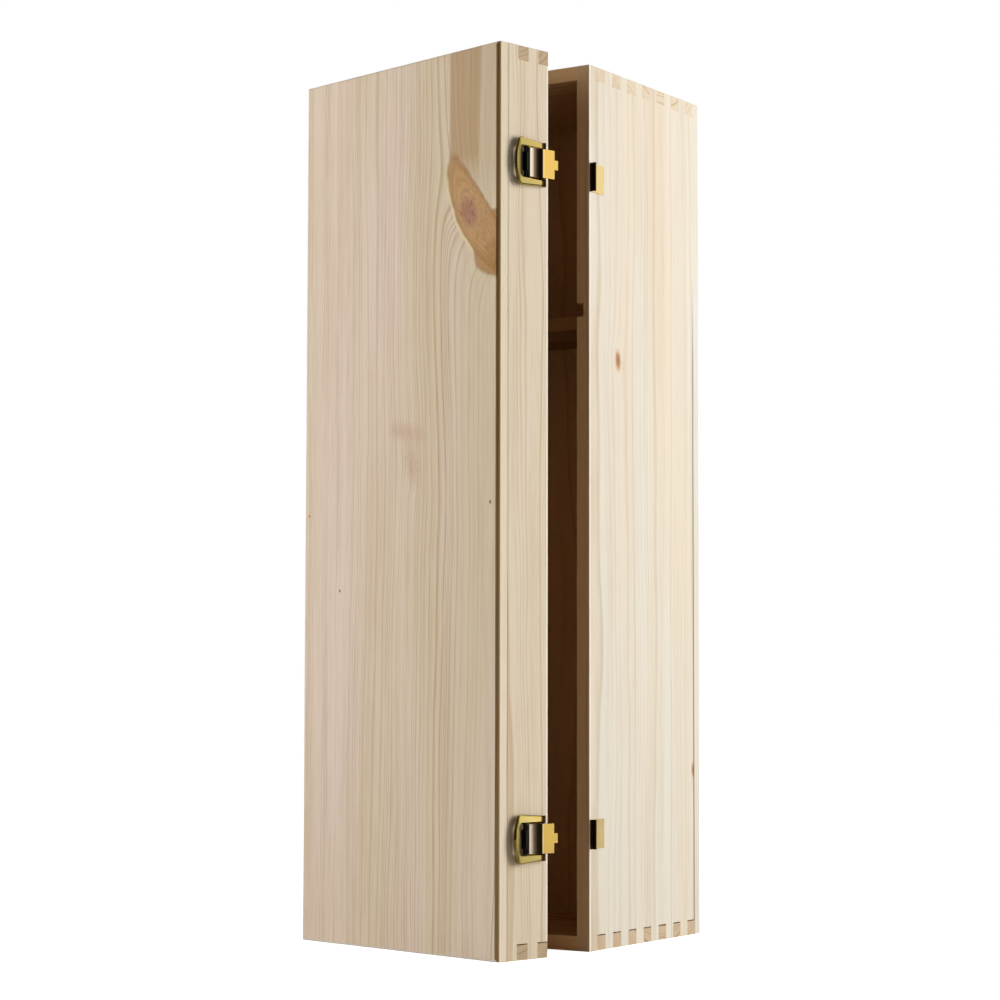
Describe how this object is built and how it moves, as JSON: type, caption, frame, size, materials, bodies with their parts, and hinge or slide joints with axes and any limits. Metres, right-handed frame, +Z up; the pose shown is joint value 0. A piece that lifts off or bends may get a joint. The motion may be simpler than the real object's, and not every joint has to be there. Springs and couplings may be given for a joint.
{
  "type": "wooden wine box",
  "caption": "Tall hinged pine box for one bottle, comb-jointed corners, overlaid lid and back panels, neck rest inside, brass draw latches, lid ajar.",
  "frame": {"origin": "centre of the foot face of the box's body, on the floor", "axes": "+Z up along the length, the lid at -Y, the hinges at -X, the latches at +X"},
  "size_m": [0.183, 0.2095, 0.52],
  "materials": {
    "pine": "sanded bare pine",
    "brass": "polished brass plate"
  },
  "bodies": {
    "box_body": {"body_latch_wall": "pine", "body_hinge_wall": "pine", "body_top_wall": "pine", "body_foot_wall": "pine", "back_panel": "pine", "neck_rest": "pine", "strike_upper": "brass", "strike_lower": "brass", "strike_nails": "brass", "hinge_leaf_body_upper": "brass", "hinge_leaf_body_lower": "brass", "hinge_nails_body": "brass", "hinge_pin_upper": "brass", "hinge_pin_lower": "brass"},
    "lid": {"lid_latch_wall": "pine", "lid_hinge_wall": "pine", "lid_top_wall": "pine", "lid_foot_wall": "pine", "lid_panel": "pine", "hinge_leaf_lid_upper": "brass", "hinge_leaf_lid_lower": "brass", "hinge_nails_lid": "brass", "latch_base_upper": "brass", "latch_base_lower": "brass", "latch_nails": "brass", "lever_pin_upper": "brass", "lever_pin_lower": "brass"},
    "lever_upper": {"lever_upper": "brass", "tongue_pin_upper": "brass"},
    "tongue_upper": {"tongue_upper": "brass"},
    "lever_lower": {"lever_lower": "brass", "tongue_pin_lower": "brass"},
    "tongue_lower": {"tongue_lower": "brass"}
  },
  "joints": [
    {"name": "lid_hinge", "type": "hinge", "parent": "box_body", "child": "lid", "pos_m": [-0.0871, -0.0664, 0.26], "axis": [0, 0, -1], "range_deg": [-12.8, 167.2]},
    {"name": "lever_upper_turn", "type": "hinge", "parent": "lid", "child": "lever_upper", "pos_m": [0.08117, -0.11047, 0.4525], "axis": [0, 0, 1], "range_deg": [-3.4, 121.6]},
    {"name": "tongue_upper_turn", "type": "hinge", "parent": "lever_upper", "child": "tongue_upper", "pos_m": [0.07867, -0.12618, 0.4525], "axis": [0, 0, 1], "range_deg": [-145.92, 4.08]},
    {"name": "lever_lower_turn", "type": "hinge", "parent": "lid", "child": "lever_lower", "pos_m": [0.08117, -0.11047, 0.0675], "axis": [0, 0, 1], "range_deg": [-3.4, 121.6]},
    {"name": "tongue_lower_turn", "type": "hinge", "parent": "lever_lower", "child": "tongue_lower", "pos_m": [0.07867, -0.12618, 0.0675], "axis": [0, 0, 1], "range_deg": [-145.92, 4.08]}
  ],
  "couplings": [
    {"joint": "tongue_upper_turn", "follows": "lever_upper_turn", "ratio": -1.2},
    {"joint": "tongue_lower_turn", "follows": "lever_lower_turn", "ratio": -1.2}
  ]
}
